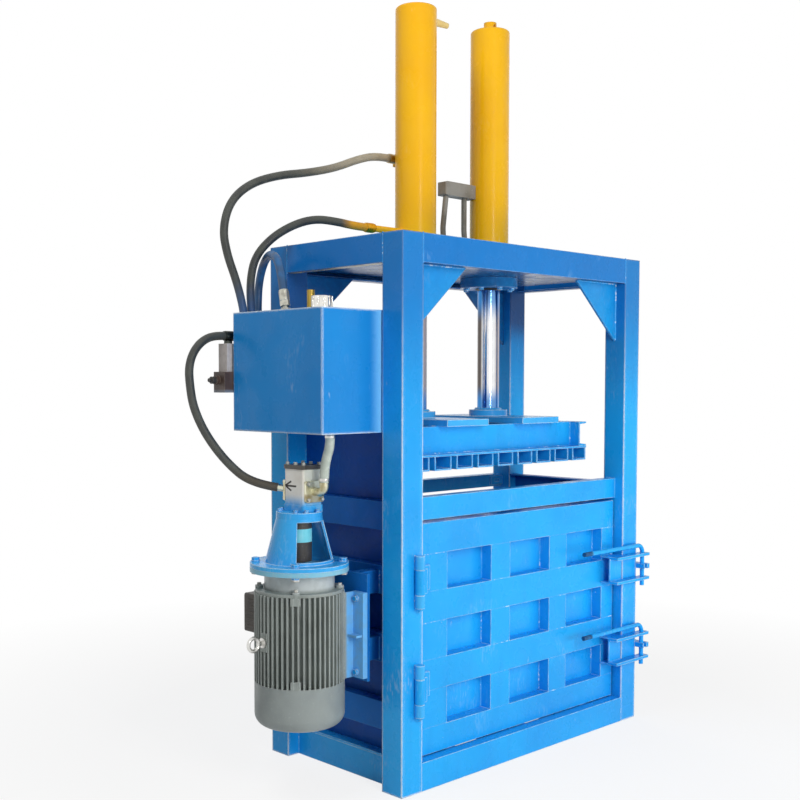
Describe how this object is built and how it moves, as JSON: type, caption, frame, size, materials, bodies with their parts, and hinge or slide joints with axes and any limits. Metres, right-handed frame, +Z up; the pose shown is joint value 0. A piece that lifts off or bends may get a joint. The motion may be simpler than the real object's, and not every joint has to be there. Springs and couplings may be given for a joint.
{
  "type": "recycling baler",
  "caption": "Vertical hydraulic baler: open frame, sliding platen on chrome rods, latched door with pockets, oil tank and motor pump unit on the side.",
  "frame": {"origin": "on the floor, at the centre of the frame's footprint", "axes": "+Z up, +X right as one faces the door, +Y to the back"},
  "size_m": [1.8858, 0.751, 2.88],
  "materials": {
    "frame_blue": "glossy sprayed enamel, blue",
    "cylinder_yellow": "glossy sprayed enamel, yellow",
    "rod_chrome": "ground hard chrome",
    "motor_grey": "satin grey enamel on cast iron",
    "dark_iron": "rough cast",
    "bright_steel": "turned steel",
    "zinc_steel": "zinc plated",
    "pump_cream": "die cast, painted cream",
    "hose_black": "matt rubber cover",
    "suction_hose_clear": "pale wire-reinforced hose",
    "spider_cyan": "moulded",
    "cap_chrome": "plated",
    "valve_grey": "cast, oily"
  },
  "bodies": {
    "frame": {"back_wall_bars": "frame_blue", "base_beams": "frame_blue", "bell_housing": "frame_blue", "chamber_floor": "frame_blue", "corner_gussets": "frame_blue", "cylinder_barrels": "cylinder_yellow", "cylinder_glands": "frame_blue", "cylinder_plate": "frame_blue", "door_lintel": "frame_blue", "fan_cover": "motor_grey", "floor_channels": "frame_blue", "floor_joists": "frame_blue", "frame_posts": "frame_blue", "hinge_knuckles": "frame_blue", "hose_cylinder_lower": "hose_black", "hose_cylinder_upper": "hose_black", "hose_fittings": "zinc_steel", "hose_pressure": "hose_black", "hose_return": "hose_black", "hose_suction": "suction_hose_clear", "latch_catches": "frame_blue", "lifting_eye": "bright_steel", "machine_bolts": "zinc_steel", "motor_bracket": "frame_blue", "motor_end_shields": "motor_grey", "motor_housing": "motor_grey", "motor_stator": "dark_iron", "oil_tank": "frame_blue", "pipe_tee": "zinc_steel", "pump_body": "pump_cream", "pump_cover": "dark_iron", "pump_port_flanges": "zinc_steel", "side_wall_bars": "frame_blue", "side_wall_plates": "frame_blue", "terminal_box": "dark_iron", "top_beams": "frame_blue", "valve_block": "valve_grey"},
    "platen": {"platen_plate": "frame_blue", "platen_channels": "frame_blue", "platen_frame": "frame_blue", "rod_flanges": "frame_blue", "piston_rods": "rod_chrome"},
    "door": {"door_bars": "frame_blue", "door_back_plate": "frame_blue", "hinge_leaves": "frame_blue", "latch_boxes": "frame_blue"},
    "upper_latch": {"latch_pin_upper": "frame_blue"},
    "lower_latch": {"latch_pin_lower": "frame_blue"},
    "drive": {"motor_rotor": "bright_steel", "cooling_fan": "motor_grey", "coupling_hubs": "dark_iron", "coupling_spider": "spider_cyan", "pump_drive_gear": "bright_steel"},
    "driven_gear": {"pump_driven_gear": "bright_steel"},
    "cap": {"filler_cap": "cap_chrome"},
    "relief": {"relief_adjuster": "bright_steel"},
    "lever": {"valve_lever": "bright_steel"}
  },
  "joints": [
    {"name": "platen_slide", "type": "slide", "parent": "frame", "child": "platen", "axis": [0, 0, 1], "range_m": [-0.38, 0.46]},
    {"name": "door_hinge", "type": "hinge", "parent": "frame", "child": "door", "pos_m": [-0.63, -0.367, 0.514], "axis": [0, 0, -1], "range_deg": [0, 180]},
    {"name": "upper_latch_lift", "type": "slide", "parent": "door", "child": "upper_latch", "axis": [0, 0, 1], "range_m": [0, 0.13]},
    {"name": "lower_latch_lift", "type": "slide", "parent": "door", "child": "lower_latch", "axis": [0, 0, 1], "range_m": [0, 0.13]},
    {"name": "drive_spin", "type": "hinge", "parent": "frame", "child": "drive", "pos_m": [-0.916, -0.071, 0.86], "axis": [0, 0, 1], "continuous": true},
    {"name": "driven_gear_spin", "type": "hinge", "parent": "frame", "child": "driven_gear", "pos_m": [-0.88, -0.071, 1.06], "axis": [0, 0, 1], "continuous": true},
    {"name": "filler_cap_turn", "type": "hinge", "parent": "frame", "child": "cap", "pos_m": [-0.815, -0.075, 1.68], "axis": [0, 0, 1], "range_deg": [0, 90]},
    {"name": "relief_adjuster_turn", "type": "hinge", "parent": "frame", "child": "relief", "pos_m": [-1.016, 0.275, 1.422], "axis": [-1, 0, 0], "range_deg": [-360, 360]},
    {"name": "valve_lever_swing", "type": "hinge", "parent": "frame", "child": "lever", "pos_m": [-0.83, 0.308, 1.415], "axis": [0, 1, 0], "range_deg": [-22, 22]}
  ],
  "couplings": [
    {"joint": "driven_gear_spin", "follows": "drive_spin", "ratio": -1}
  ]
}
